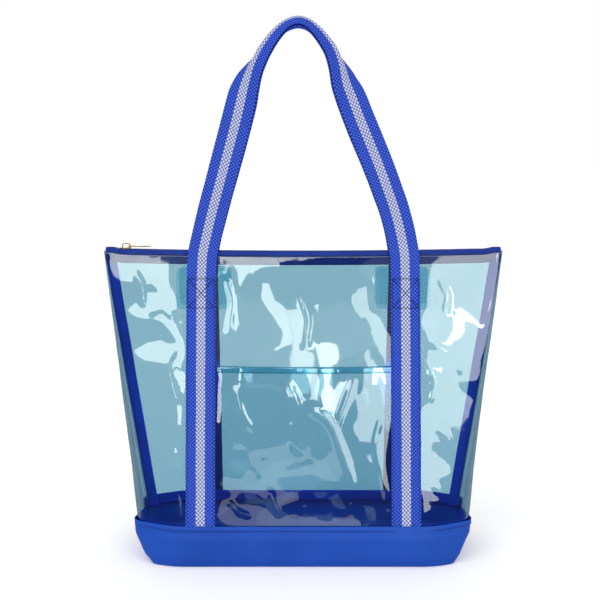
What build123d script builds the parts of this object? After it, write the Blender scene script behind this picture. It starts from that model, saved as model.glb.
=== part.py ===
"""Zipped beach bag of clear tinted film on a boxed fabric base, with two webbing handles.

Millimetres. +X is the bag's right, -Y its front, +Z up. The origin is the middle of the
base on the surface that the bag stands on. Every sheet of the bag is a layer at its own
depth below one reference shape, so that sheets sewn on each other lie face to face.
"""
from build123d import *
import math
import os

# ---- driving dimensions ------------------------------------------------------
base_width, base_depth = 366.0, 136.0       # footprint
shoulder_height = 34.0                      # where the boxed base ends
shoulder_width, shoulder_depth = 408.0, 144.0
shoulder_fold, rim_fold = 12.0, 0.5         # how far the side seams are drawn in
rim_height = 371.0
rim_width, rim_depth = 485.4, 21.4          # of the reference shape, outside the film
face_half_width = 153.0                     # flat part of the front and back faces

base_top = 50.0                             # upper hem of the base fabric
film_bottom, film_top = 38.0, 366.5

strap_width, strap_spacing = 35.0, 242.6    # webbing, and its centre spacing on a face
strap_bottom, sewn_top = 42.0, 340.0
fold_height = 341.0                         # where a handle leaves the film
fold_lead = 0.8                             # fold axis in front of the webbing

pocket_top, pocket_bulge = 235.0, 8.0
zip_half_length = 221.0
slider_x = -212.0

# Depth of each sheet below the reference shape: outer face, inner face.
BASE = (0.0, 0.8)
STRAP = (0.9, 2.1)
POCKET = (2.2, 2.6)
FILM = (2.7, 3.2)
LINING = (3.3, 3.9)                         # bindings, tapes and patches inside the film

stitch_width, stitch_height, stitch_gap = 0.9, 0.25, 0.05

# ---- the reference shape -----------------------------------------------------
face_slope = (shoulder_depth - rim_depth) / 2 / (rim_height - shoulder_height)
seam_run = (rim_width / 2 - rim_fold) - (shoulder_width / 2 - shoulder_fold)
seam_slope = seam_run / (rim_height - shoulder_height)
face_tilt = math.degrees(math.atan(face_slope))


def face_y(height):
    """Y of the front face of the reference shape, above the shoulder."""
    return -shoulder_depth / 2 + face_slope * (height - shoulder_height)


def seam_x(height):
    """X of the right side seam on the reference shape, above the shoulder."""
    return shoulder_width / 2 - shoulder_fold + seam_slope * (height - shoulder_height)


def outline(half_width, half_depth, gusset, fold):
    """Anticlockwise outline of one level. gusset is the half depth at its side corners,
    and fold is how far the side seam between them is drawn in."""
    quarter = [(half_width, gusset), (face_half_width, half_depth)]
    back = quarter + [(-x, y) for x, y in reversed(quarter)]
    front = [(-x, -y) for x, y in back]
    return [(half_width - fold, 0)] + back + [(fold - half_width, 0)] + front


def inset(points, depth):
    """Move every edge of an anticlockwise outline inwards by the depth."""
    moved = []
    for before, here, after in zip(points[-1:] + points[:-1], points, points[1:] + points[:1]):
        normals = []
        for start, end in ((before, here), (here, after)):
            along = Vector(*end) - Vector(*start)
            normals.append(Vector(-along.Y, along.X).normalized())
        mitre = (normals[0] + normals[1]) / (1 + normals[0].dot(normals[1]))
        moved.append((here[0] + depth * mitre.X, here[1] + depth * mitre.Y))
    return moved


shoulder = (shoulder_width / 2, shoulder_depth / 2, 46, shoulder_fold)
rim = (rim_width / 2, rim_depth / 2, 8, rim_fold)


def level(height):
    """Outline of the reference shape at any height from the shoulder to the rim."""
    share = (height - shoulder_height) / (rim_height - shoulder_height)
    return outline(*(low + share * (high - low) for low, high in zip(shoulder, rim)))


def body_solid(bottom, top, depth):
    """Solid of the reference shape between two heights above the shoulder, inset by depth."""
    with BuildPart() as solid:
        for height in (bottom, top):
            with BuildSketch(Plane.XY.offset(height)):
                with BuildLine():
                    Polyline(*inset(level(height), depth), close=True)
                make_face()
        loft(ruled=True)
    return solid.part


def body_layer(bottom, top, depths):
    """Ring of one sheet between two heights."""
    with BuildPart() as ring:
        add(body_solid(bottom, top, depths[0]))
        add(body_solid(bottom, top, depths[1]), mode=Mode.SUBTRACT)
    return ring.part


def face_strip(left, right, bottom, top, depths):
    """Flat strip on the front face, from x left to right, as one layer."""
    with BuildPart() as strip:
        with BuildSketch(Plane.YZ.offset(left)):
            with BuildLine():
                Polyline(
                    (face_y(bottom) + depths[0], bottom),
                    (face_y(bottom) + depths[1], bottom),
                    (face_y(top) + depths[1], top),
                    (face_y(top) + depths[0], top),
                    close=True,
                )
            make_face()
        extrude(amount=right - left)
    return strip.part


def half_of(shape, gap, front=True):
    """The front or back part of a shape, cut clear of the middle plane by the gap."""
    with BuildPart() as half:
        add(shape)
        if front:
            split(bisect_by=Plane.XZ.offset(gap), keep=Keep.TOP)
        else:
            split(bisect_by=Plane.XZ.offset(-gap), keep=Keep.BOTTOM)
    return half.part


def to_back(shape):
    """The same piece on the back face."""
    return shape.mirror(Plane.XZ)


def save(shape, name):
    """Label a finished piece and write it under its own name."""
    shape.label = name
    export_step(shape, f"parts/{name}.step")


os.makedirs("parts", exist_ok=True)

# ---- base: one boxed fabric tray ---------------------------------------------
floor_thickness = 1.2
toe_height, toe_width, toe_depth = 10.0, 381.0, 141.0
base_levels = [
    (0.0, outline(base_width / 2, base_depth / 2, 58, 4)),
    (toe_height, outline(toe_width / 2, toe_depth / 2, 55, 7)),
    (shoulder_height, outline(*shoulder)),
    (base_top, level(base_top)),
]


def tray_solid(depth):
    """Solid of the base from the floor to its hem, inset by depth."""
    with BuildPart() as tray:
        for height, points in base_levels:
            with BuildSketch(Plane.XY.offset(height)):
                with BuildLine():
                    Polyline(*inset(points, depth), close=True)
                make_face()
        loft(ruled=True)
    return tray.part


with BuildPart() as base_fabric:
    add(tray_solid(BASE[0]))
    with BuildPart(mode=Mode.SUBTRACT):
        add(tray_solid(BASE[1]))
        split(bisect_by=Plane.XY.offset(floor_thickness), keep=Keep.TOP)
save(base_fabric.part, "base_fabric")

# ---- front and back film, with the sewn lips of the side seams -----------------
seam_gap = 0.05                             # between the two films of a side seam
lip_depth, lip_thickness = 12.0, 0.5
lip_bottom = base_top + 1


def seam_strip(outer, inner, bottom, top, thickness):
    """Strips along both side seams, standing inwards, as depths from the side."""
    with BuildPart() as strip:
        with BuildSketch(Plane.XZ):
            with BuildLine():
                Polyline(
                    (seam_x(bottom) - inner, bottom),
                    (seam_x(bottom) - outer, bottom),
                    (seam_x(top) - outer, top),
                    (seam_x(top) - inner, top),
                    close=True,
                )
            make_face()
            mirror(about=Plane.YZ)
        extrude(amount=thickness / 2, both=True)
    return strip.part


lip_root = FILM[0] + 0.2                    # a lip joins the film within its thickness
lips = seam_strip(lip_root, lip_root + lip_depth, lip_bottom, film_top, 2 * (seam_gap + lip_thickness))

with BuildPart() as both_films:
    add(body_layer(film_bottom, film_top, FILM))
    add(lips)

front_film = half_of(both_films.part, seam_gap)
back_film = half_of(both_films.part, seam_gap, front=False)
save(front_film, "front_film_panel")
save(back_film, "back_film_panel")

# ---- tape bound over each side seam -------------------------------------------
binding_thickness = 0.5
fold_depth = lip_root + lip_depth + 0.1     # inner end of the folded slot
seam_half = seam_gap + lip_thickness + 0.1
binding_outer = FILM[1] + 0.2

with BuildPart() as side_bindings:
    add(seam_strip(binding_outer, fold_depth + binding_thickness, lip_bottom, film_top,
                   2 * (seam_half + binding_thickness)))
    add(seam_strip(0, fold_depth, lip_bottom - 1, film_top + 1, 2 * seam_half), mode=Mode.SUBTRACT)

for side, solid in zip(("left", "right"), side_bindings.part.solids().sort_by(Axis.X)):
    with BuildPart() as side_binding:
        add(solid)
    save(side_binding.part, f"side_binding_{side}")

# ---- tape bound over the seam between film and base ------------------------------
base_binding = body_layer(film_bottom, base_top, LINING)
save(half_of(base_binding, 1.5), "base_binding_front")
save(half_of(base_binding, 1.5, front=False), "base_binding_back")

# ---- clear patches behind the handle ends -----------------------------------------
patch_inner, patch_outer = 87.0, 151.0
patch_bottom, patch_top = 301.0, 349.0
patch_right = face_strip(patch_inner, patch_outer, patch_bottom, patch_top, LINING)
patch_left = face_strip(-patch_outer, -patch_inner, patch_bottom, patch_top, LINING)
save(patch_left, "front_patch_left")
save(patch_right, "front_patch_right")
save(to_back(patch_left), "back_patch_left")
save(to_back(patch_right), "back_patch_right")

# ---- front pocket: one film sheet, held at its sides by the straps ------------------
pocket_bottom = 42.0
bulge_root = 20.0                           # height where the bulge would start from nothing
pocket_edge = 137.0                         # under the straps
pocket_free, pocket_flat = 101.0, 60.0      # where it leaves the face, and is fullest


def pocket_band(bottom, top, edge, depths):
    """Band of the pocket between two heights, bulging more towards its mouth."""
    with BuildPart() as band:
        for height in (bottom, top):
            bulge = pocket_bulge * (height - bulge_root) / (pocket_top - bulge_root)
            half = [(pocket_free, 0), (pocket_flat, -bulge)]
            if edge > pocket_free:
                half = [(edge, 0)] + half
            across = [(-x, y) for x, y in half] + [(x, y) for x, y in reversed(half)]
            near, far = (face_y(height) + depth for depth in depths)
            points = [(x, y + near) for x, y in across] + [(x, y + far) for x, y in reversed(across)]
            with BuildSketch(Plane.XY.offset(height)):
                with BuildLine():
                    Polyline(*points, close=True)
                make_face()
        loft(ruled=True)
    return band.part


save(pocket_band(pocket_bottom, pocket_top, pocket_edge, POCKET), "front_pocket_film")

hem_height, hem_thickness = 8.0, 0.4
hem_outer = POCKET[0] - 0.1 - hem_thickness
hem_depths = (hem_outer, POCKET[0] - 0.1)
pocket_hem = pocket_band(pocket_top - hem_height, pocket_top, pocket_free, hem_depths)
save(pocket_hem, "pocket_mouth_binding")

# ---- handle legs, sewn flat on the film from the base up -----------------------------
strap_x = strap_spacing / 2
leg_right = face_strip(strap_x - strap_width / 2, strap_x + strap_width / 2, strap_bottom, sewn_top, STRAP)
leg_left = face_strip(-strap_x - strap_width / 2, -strap_x + strap_width / 2, strap_bottom, sewn_top, STRAP)
save(leg_left, "front_handle_left_leg")
save(leg_right, "front_handle_right_leg")
save(to_back(leg_left), "back_handle_left_leg")
save(to_back(leg_right), "back_handle_right_leg")

# ---- handle loops: one length of webbing that turns edge-on at the top ------------------
# Stations of the front loop's middle: x, height, and the twist in degrees, from facing
# forwards to facing outwards round the arch.
left_leg = [(-121.3, 341, 0), (-120, 366, 0), (-107, 420, 0), (-89, 486, 0), (-73, 543, 8),
            (-68, 567, 28), (-61.5, 588, 50), (-52, 608, 68), (-37, 627, 82)]
right_leg = [(22, 627, 82), (38, 608, 68), (46, 588, 50), (50, 567, 28), (59, 543, 8),
             (83.5, 486, 0), (108, 420, 0), (120.5, 366, 0), (121.3, 341, 0)]
arch_top = [(-23, 638, 87), (-7, 643, 90), (8, 639, 88)]
loop_stations = left_leg + arch_top + right_leg

# Y of the loop's middle at some heights: the two loops lean together above the rim.
lean_line = [(fold_height, face_y(fold_height) + sum(STRAP) / 2), (rim_height, -9.9), (420, -6.2),
             (486, -4.0), (543, -3.0), (650, -2.2)]
nesting = 3.0                                   # the back loop lies inside the front one
strap_thickness = STRAP[1] - STRAP[0]


def lean(height):
    """Y of the front loop's middle at a height."""
    for (low, near), (high, far) in zip(lean_line, lean_line[1:]):
        if height <= high:
            break
    return near + (far - near) * (height - low) / (high - low)


def loop_solid(inwards, front):
    """Webbing loop as a ruled loft; inwards moves the arch in along its own normal."""
    middle = [Vector(x, 0, z) for x, z, _ in loop_stations]
    with BuildPart() as loop:
        for number, (x, z, twist) in enumerate(loop_stations):
            ahead = middle[min(number + 1, len(middle) - 1)]
            behind = middle[max(number - 1, 0)]
            along = (ahead - behind).normalized()
            if number in (0, len(middle) - 1):
                along = Vector(0, 0, 1 if number == 0 else -1)
            outwards = Vector(-along.Z, 0, along.X)
            turn = math.radians(twist)
            across = outwards * math.cos(turn) + Vector(0, 1, 0) * math.sin(turn)
            share = min(1.0, max(0.0, (z - rim_height) / (543 - rim_height)))
            place = Vector(x, lean(z) if front else -lean(z), z) - outwards * (inwards * share)
            with BuildSketch(Plane(origin=place, x_dir=across, z_dir=along)):
                Rectangle(strap_width, strap_thickness)
        loft(ruled=True)
    return loop.part


save(loop_solid(0.0, True), "front_handle_loop")
save(loop_solid(nesting, False), "back_handle_loop")

# ---- zipper tapes, sewn inside the rim and folded in over the mouth ---------------------
tape_bottom, tape_top, tape_thickness = 355.0, 371.0, 0.6
tape_half_length = 234.0
chain_half_width = 2.95                     # half the slot between the two tapes

with BuildPart() as both_tapes:
    add(body_solid(tape_bottom, tape_top, LINING[0]))
    add(body_solid(tape_bottom, tape_top - tape_thickness, LINING[1]), mode=Mode.SUBTRACT)
    with BuildSketch(Plane.XY.offset(tape_bottom)):
        Rectangle(2 * tape_half_length, rim_depth)
    extrude(amount=tape_top - tape_bottom, mode=Mode.INTERSECT)
save(half_of(both_tapes.part, chain_half_width), "zipper_tape_front")
save(half_of(both_tapes.part, chain_half_width, front=False), "zipper_tape_back")

# ---- zipper coils, on the facing edges of the tapes --------------------------------------
# A lane stays open along the middle, where the slider's post runs.
lane_half_width, coil_height = 0.75, 2.2
coil_outer = chain_half_width - 0.1
coil_middle = tape_top - tape_thickness / 2

with BuildPart() as zipper_coil_front:
    with BuildSketch(Plane.YZ.offset(-zip_half_length)):
        with Locations((-(lane_half_width + coil_outer) / 2, coil_middle)):
            RectangleRounded(coil_outer - lane_half_width, coil_height, 0.5)
    extrude(amount=2 * zip_half_length)
save(zipper_coil_front.part, "zipper_coil_front")
save(to_back(zipper_coil_front.part), "zipper_coil_back")

stop_length = 2.5
with BuildPart() as zipper_end_stops:
    for side in (-1, 1):
        with Locations((side * (zip_half_length + 0.1 + stop_length / 2), 0, coil_middle)):
            Box(stop_length, 2 * coil_outer, coil_height + 0.4)
    fillet(zipper_end_stops.edges().filter_by(Axis.Y), 0.6)
save(zipper_end_stops.part, "zipper_end_stops")

# ---- zipper slider: two plates joined by a post, with a bridge for the pull ----------------
slider_length = 12.0
plate_thickness = 1.2
top_half_width, bottom_half_width = 4.8, 4.0
post_half_width, post_length = 0.42, 5.0
coil_top = coil_middle + coil_height / 2
coil_clear = 0.3
upper_plate = coil_top + coil_clear
lower_plate = coil_middle - coil_height / 2 - coil_clear - plate_thickness
tape_clear = 0.35
bridge_half_width, bridge_wall, bridge_height, bridge_length = 1.3, 1.2, 5.0, 10.0

with BuildPart() as zipper_slider:
    with BuildSketch(Plane.XY.offset(upper_plate)):
        with Locations((slider_x, 0)):
            RectangleRounded(slider_length, 2 * top_half_width, 2.0)
    extrude(amount=plate_thickness)
    with BuildSketch(Plane.XY.offset(lower_plate)):
        with Locations((slider_x, 0)):
            RectangleRounded(slider_length, 2 * bottom_half_width, 1.6)
    extrude(amount=plate_thickness)
    # side flanges reach towards the tape from above and from below
    for side in (-1, 1):
        flange = 1.1
        above = upper_plate - tape_top - tape_clear
        with Locations((slider_x, side * (top_half_width - flange / 2), upper_plate - above / 2)):
            Box(slider_length - 4, flange, above)
    post_x = slider_x - slider_length / 2 + post_length / 2 + 0.5
    post_height = upper_plate - lower_plate - plate_thickness
    with Locations((post_x, 0, lower_plate + plate_thickness + post_height / 2)):
        Box(post_length, 2 * post_half_width, post_height)
    # bridge: a flat arch along the slider
    with BuildSketch(Plane.XZ.offset(-bridge_half_width)):
        with BuildLine():
            foot = upper_plate + plate_thickness
            Polyline(
                (slider_x - bridge_length / 2, foot),
                (slider_x - bridge_length / 2, foot + bridge_height - 2),
                (slider_x - bridge_length / 2 + 2, foot + bridge_height),
                (slider_x + bridge_length / 2 - 2, foot + bridge_height),
                (slider_x + bridge_length / 2, foot + bridge_height - 2),
                (slider_x + bridge_length / 2, foot),
                close=True,
            )
        make_face()
        with BuildLine():
            room = bridge_height - bridge_wall
            Polyline(
                (slider_x - bridge_length / 2 + bridge_wall, foot),
                (slider_x - bridge_length / 2 + bridge_wall, foot + room - 1.2),
                (slider_x - bridge_length / 2 + bridge_wall + 1.2, foot + room),
                (slider_x + bridge_length / 2 - bridge_wall - 1.2, foot + room),
                (slider_x + bridge_length / 2 - bridge_wall, foot + room - 1.2),
                (slider_x + bridge_length / 2 - bridge_wall, foot),
                close=True,
            )
        make_face(mode=Mode.SUBTRACT)
    extrude(amount=2 * bridge_half_width)
save(zipper_slider.part, "zipper_slider")

# ---- pull tab: lies along the zipper, its window round the end of the bridge -----------------
pull_width, pull_length, pull_thickness = 7.6, 27.0, 1.4
window_width, window_length, window_rim = 3.6, 8.5, 1.6
pull_clear = 0.5
pull_bottom = upper_plate + plate_thickness + pull_clear
pull_start = slider_x + bridge_length / 2 - bridge_wall - window_rim - 0.3

with BuildPart() as zipper_pull_tab:
    with BuildSketch(Plane.XY.offset(pull_bottom)):
        with Locations((pull_start + pull_length / 2, 0)):
            RectangleRounded(pull_length, pull_width, 2.6)
        with Locations((pull_start + window_rim + window_length / 2, 0)):
            RectangleRounded(window_length, window_width, 1.2, mode=Mode.SUBTRACT)
        with Locations((pull_start + pull_length - 5, 0)):
            SlotOverall(5, 2.4, mode=Mode.SUBTRACT)
    extrude(amount=pull_thickness)
save(zipper_pull_tab.part, "zipper_pull_tab")

# ---- sewing thread ---------------------------------------------------------------------------
def thread_depths(surface):
    """Layer of a stitch line on the outside of a sheet."""
    return (surface - stitch_gap - stitch_height, surface - stitch_gap)


box_width, box_height, box_middle = 31.0, 33.0, 320.0
with BuildPart() as handle_box_stitching:
    for facing in (1, -1):
        for side in (-1, 1):
            y = face_y(box_middle) + STRAP[0] - stitch_gap
            tilt = math.radians(face_tilt)
            out = Vector(0, -facing * math.cos(tilt), math.sin(tilt))
            along = Vector(1, 0, 0)
            with BuildSketch(Plane(origin=(side * strap_x, facing * y, box_middle), x_dir=along, z_dir=out)):
                Rectangle(box_width, box_height)
                Rectangle(box_width - 2 * stitch_width, box_height - 2 * stitch_width, mode=Mode.SUBTRACT)
                diagonal = math.hypot(box_width - stitch_width, box_height - stitch_width)
                rise = math.degrees(math.atan2(box_height, box_width))
                Rectangle(diagonal, stitch_width, rotation=rise)
                Rectangle(diagonal, stitch_width, rotation=-rise)
            extrude(amount=stitch_height)
save(handle_box_stitching.part, "handle_box_stitching")

edge_line = strap_width / 2 - 2
line_bottom, line_top = base_top + 2, box_middle - box_height / 2 - 1
with BuildPart() as handle_edge_stitching:
    for side in (-1, 1):
        for edge in (-edge_line, edge_line):
            middle = side * strap_x + edge
            line = face_strip(middle - stitch_width / 2, middle + stitch_width / 2, line_bottom, line_top,
                              thread_depths(STRAP[0]))
            add(line)
            add(to_back(line))
save(handle_edge_stitching.part, "handle_edge_stitching")

hem_line = base_top - 3.5
save(body_layer(hem_line - stitch_width, hem_line, thread_depths(BASE[0])), "base_hem_stitching")

zip_line = film_top - 1.5
save(body_layer(zip_line - stitch_width, zip_line, thread_depths(FILM[0])), "zipper_stitching")

with BuildPart() as pocket_mouth_stitching:
    for line in (pocket_top - 1.5, pocket_top - hem_height + 1.5 + stitch_width):
        add(pocket_band(line - stitch_width, line, pocket_free, thread_depths(hem_outer)))
save(pocket_mouth_stitching.part, "pocket_mouth_stitching")
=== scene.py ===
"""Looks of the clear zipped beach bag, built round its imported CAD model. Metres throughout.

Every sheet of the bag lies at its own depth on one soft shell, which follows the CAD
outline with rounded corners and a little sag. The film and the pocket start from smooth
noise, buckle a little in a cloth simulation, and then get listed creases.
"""
import math

import bpy
import numpy as np
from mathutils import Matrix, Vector, noise


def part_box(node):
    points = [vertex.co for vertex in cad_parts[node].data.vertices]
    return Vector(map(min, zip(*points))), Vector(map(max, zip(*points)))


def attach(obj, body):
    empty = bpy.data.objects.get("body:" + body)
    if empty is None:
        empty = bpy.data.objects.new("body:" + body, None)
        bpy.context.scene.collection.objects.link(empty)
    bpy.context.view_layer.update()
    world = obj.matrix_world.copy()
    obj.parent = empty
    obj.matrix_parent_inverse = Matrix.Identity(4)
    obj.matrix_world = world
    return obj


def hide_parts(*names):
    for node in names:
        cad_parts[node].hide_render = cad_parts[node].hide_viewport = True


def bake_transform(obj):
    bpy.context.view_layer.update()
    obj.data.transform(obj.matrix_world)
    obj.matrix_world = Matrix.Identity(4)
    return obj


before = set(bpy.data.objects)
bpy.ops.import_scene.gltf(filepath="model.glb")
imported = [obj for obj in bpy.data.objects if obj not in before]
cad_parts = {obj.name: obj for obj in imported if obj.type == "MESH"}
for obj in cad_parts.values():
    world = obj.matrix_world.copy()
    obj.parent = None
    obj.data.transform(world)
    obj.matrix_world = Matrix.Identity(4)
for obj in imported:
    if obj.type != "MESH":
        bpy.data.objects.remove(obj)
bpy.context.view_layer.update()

MM = 0.001

# ---- driving sizes ----
film_low, film_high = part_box("front_film_panel")
base_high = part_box("base_fabric")[1]
tape_low, tape_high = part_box("zipper_tape_front")
pocket_low, pocket_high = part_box("front_pocket_film")
leg_low, leg_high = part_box("front_handle_right_leg")
patch_low, patch_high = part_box("front_patch_right")

FILM_DEPTH = 2.7 * MM                   # film below the CAD's reference shape
FACE_HALF_WIDTH = 153 * MM
STRAP_WIDTH = leg_high.x - leg_low.x
STRAP_X = (leg_high.x + leg_low.x) / 2
STRAP_THICKNESS = 1.3 * MM
FILM_THICKNESS = 0.4 * MM
FOLD_Z = leg_high.z                     # where the handles leave the film
RIM_Z = tape_high.z
FACES = ((True, "front"), (False, "back"))

# Levels of the shell: height, half width, half depth, half depth at the side corners,
# how far the side seam is drawn in, and how softly its corners are rounded.
LEVELS = np.array([
    (0.0, 183, 68, 58, 4, 7),
    (10, 190.5, 70.5, 55, 7, 8),
    (34, 204, 72, 46, 12, 9),
    (110, 212.7, 58.2, 37.4, 9.4, 12),
    (RIM_Z / MM, 242.7, 10.7, 8, 0.5, 3),
]) * MM


# ---- the shell ----
def smoothstep(value):
    """Soft step from 0 to 1."""
    value = np.clip(value, 0, 1)
    return value * value * (3 - 2 * value)


def level_values(z):
    """Half width, half depth, gusset, fold and softness at each height."""
    return [np.interp(z, LEVELS[:, 0], LEVELS[:, column]) for column in range(1, 6)]


OUTLINE_POINTS = 1024


def outline(z, depth):
    """Closed outline of one level, inset by depth, from the middle of the right side
    anticlockwise, evenly spaced and with rounded corners."""
    width, half_depth, gusset, fold, soft = (float(v) for v in level_values(z))
    quarter = [(width - depth, gusset - depth * 0.5), (FACE_HALF_WIDTH, half_depth - depth)]
    seam = width - fold - depth
    back = quarter + [(-x, y) for x, y in reversed(quarter)]
    front = [(-x, -y) for x, y in back]
    points = np.array([(seam, 0)] + back + [(-seam, 0)] + front + [(seam, 0)])
    runs = np.concatenate([[0], np.cumsum(np.linalg.norm(np.diff(points, axis=0), axis=1))])
    at = np.linspace(0, runs[-1], OUTLINE_POINTS, endpoint=False)
    even = np.interp(at, runs, points[:, 0]) + 1j * np.interp(at, runs, points[:, 1])
    waves = np.fft.fftfreq(OUTLINE_POINTS, runs[-1] / OUTLINE_POINTS)
    even = np.fft.ifft(np.fft.fft(even) * np.exp(-2 * (math.pi * waves * soft) ** 2))
    return np.stack([even.real, even.imag], axis=1)


def rim_rise(x):
    """The zipped rim stands up at its two ends and hangs a little between them."""
    ends = smoothstep((np.abs(x) - 214 * MM) / (16 * MM)) * 2.6 * MM
    sag = -2.4 * MM * np.clip(1 - (x / (205 * MM)) ** 2, 0, 1)
    return ends + sag


def near_rim(z):
    """0 well below the rim and 1 at it."""
    return smoothstep((z - 300 * MM) / (RIM_Z - 300 * MM))


def face_sag(x, z, front):
    """How far a face stands out from its flat CAD plane."""
    up = np.clip((z - 50 * MM) / (RIM_Z - 50 * MM), 0, 1)
    across = np.clip(1 - (x / (215 * MM)) ** 2, 0, 1)
    belly = 4.5 * MM * np.sin(math.pi * up) ** 1.5 * across
    ripple = 1.5 * MM * np.sin(x / (41 * MM) + (1.3 if front else 0.2)) * np.sin(math.pi * up) * across
    return belly + ripple


def shell(heights, shares, depth, front):
    """Grid of points on the front or back half of the shell: heights by shares, which run
    from 0 at the left seam to 1 at the right one."""
    def row(z):
        loop = outline(z, depth)
        half = loop[OUTLINE_POINTS // 2:] if front else loop[:OUTLINE_POINTS // 2 + 1][::-1]
        if front:
            half = np.vstack([half, loop[:1]])
        at = np.linspace(0, 1, len(half))
        x, y = even_line(half, at, shares).T
        y = y + (-1 if front else 1) * face_sag(x, z, front)
        return np.stack([x, y, z + rim_rise(x) * near_rim(z)], axis=1)
    return np.array([row(z) for z in heights])


def film_y(x, z, front=True):
    """Y of the film's outer face at a place on its flat part."""
    sign = -1 if front else 1
    half_depth = float(level_values(z)[1]) - FILM_DEPTH
    return sign * (half_depth + float(face_sag(x, z, front)))


# ---- mesh helpers ----
def new_mesh(name, points, faces, uv=None):
    """A smooth-shaded mesh object, with one UV per vertex if given."""
    mesh = bpy.data.meshes.new(name)
    mesh.from_pydata([tuple(p) for p in points], [], [tuple(int(i) for i in f) for f in faces])
    mesh.polygons.foreach_set("use_smooth", [True] * len(mesh.polygons))
    if uv is not None:
        layer = mesh.uv_layers.new(name="cloth")
        corner = np.zeros(len(mesh.loops), int)
        mesh.loops.foreach_get("vertex_index", corner)
        layer.data.foreach_set("uv", np.asarray(uv, float)[corner].ravel())
    mesh.update()
    obj = bpy.data.objects.new(name, mesh)
    bpy.context.scene.collection.objects.link(obj)
    return obj


def grid_faces(rows, columns, closed=False):
    """Quads of a grid, its columns joined round if closed."""
    faces = []
    for row in range(rows - 1):
        for column in range(columns if closed else columns - 1):
            here, beside = row * columns + column, row * columns + (column + 1) % columns
            faces.append((here, beside, beside + columns, here + columns))
    return faces


def grid_mesh(name, points, flip=False):
    """A sheet through a grid of points, with a UV map in metres."""
    rows, columns = points.shape[:2]
    faces = grid_faces(rows, columns)
    if flip:
        faces = [face[::-1] for face in faces]
    flat = points.reshape(-1, 3)
    u = np.tile(np.linspace(0, 0.484, columns), rows)
    v = np.repeat(points[:, columns // 2, 2], columns)
    return new_mesh(name, flat, faces, np.stack([u, v], axis=1))


def get_points(obj):
    points = np.zeros(len(obj.data.vertices) * 3)
    obj.data.vertices.foreach_get("co", points)
    return points.reshape(-1, 3)


def set_points(obj, points):
    obj.data.vertices.foreach_set("co", np.asarray(points, float).ravel())
    obj.data.update()


def thicken(obj, thickness, offset=-1):
    """Gives a sheet its real thickness, inwards from its outer face."""
    solid = obj.modifiers.new("thickness", "SOLIDIFY")
    solid.thickness = thickness
    solid.offset = offset
    solid.use_even_offset = False
    return obj


def apply_modifiers(obj):
    """Replaces the mesh with what its modifiers make of it."""
    graph = bpy.context.evaluated_depsgraph_get()
    mesh = bpy.data.meshes.new_from_object(obj.evaluated_get(graph))
    old = obj.data
    obj.modifiers.clear()
    obj.data = mesh
    bpy.data.meshes.remove(old)
    return obj


def subdivide(obj):
    smooth = obj.modifiers.new("smooth", "SUBSURF")
    smooth.levels = 1
    smooth.render_levels = 1
    return apply_modifiers(obj)


def joined(name, parts):
    """One mesh from several (points, faces) pairs."""
    points, faces, start = [], [], 0
    for some_points, some_faces in parts:
        points.append(np.asarray(some_points, float))
        faces += [tuple(i + start for i in face) for face in some_faces]
        start += len(some_points)
    return new_mesh(name, np.vstack(points), faces)


def swept(frames, profile):
    """Points and faces of a closed profile carried along frames of (origin, across, normal)."""
    profile = np.asarray(profile, float)
    rings = [origin + profile[:, :1] * across + profile[:, 1:] * normal for origin, across, normal in frames]
    points = np.vstack(rings)
    count = len(profile)
    faces = grid_faces(len(rings), count, closed=True)
    faces += [tuple(range(count))[::-1], tuple(range(len(points) - count, len(points)))]
    return points, faces


def unit(vector):
    vector = np.asarray(vector, float)
    return vector / np.linalg.norm(vector)


def units(vectors):
    """Each row of an array at length 1."""
    return vectors / np.linalg.norm(vectors, axis=1, keepdims=True)


def travelled(line):
    """Length travelled along a line of points, at each point."""
    return np.concatenate([[0], np.cumsum(np.linalg.norm(np.diff(line, axis=0), axis=1))])


def even_line(line, runs, at):
    """Points of a line at the given lengths, runs being the lengths at its own points."""
    return np.stack([np.interp(at, runs, column) for column in line.T], axis=1)


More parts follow.
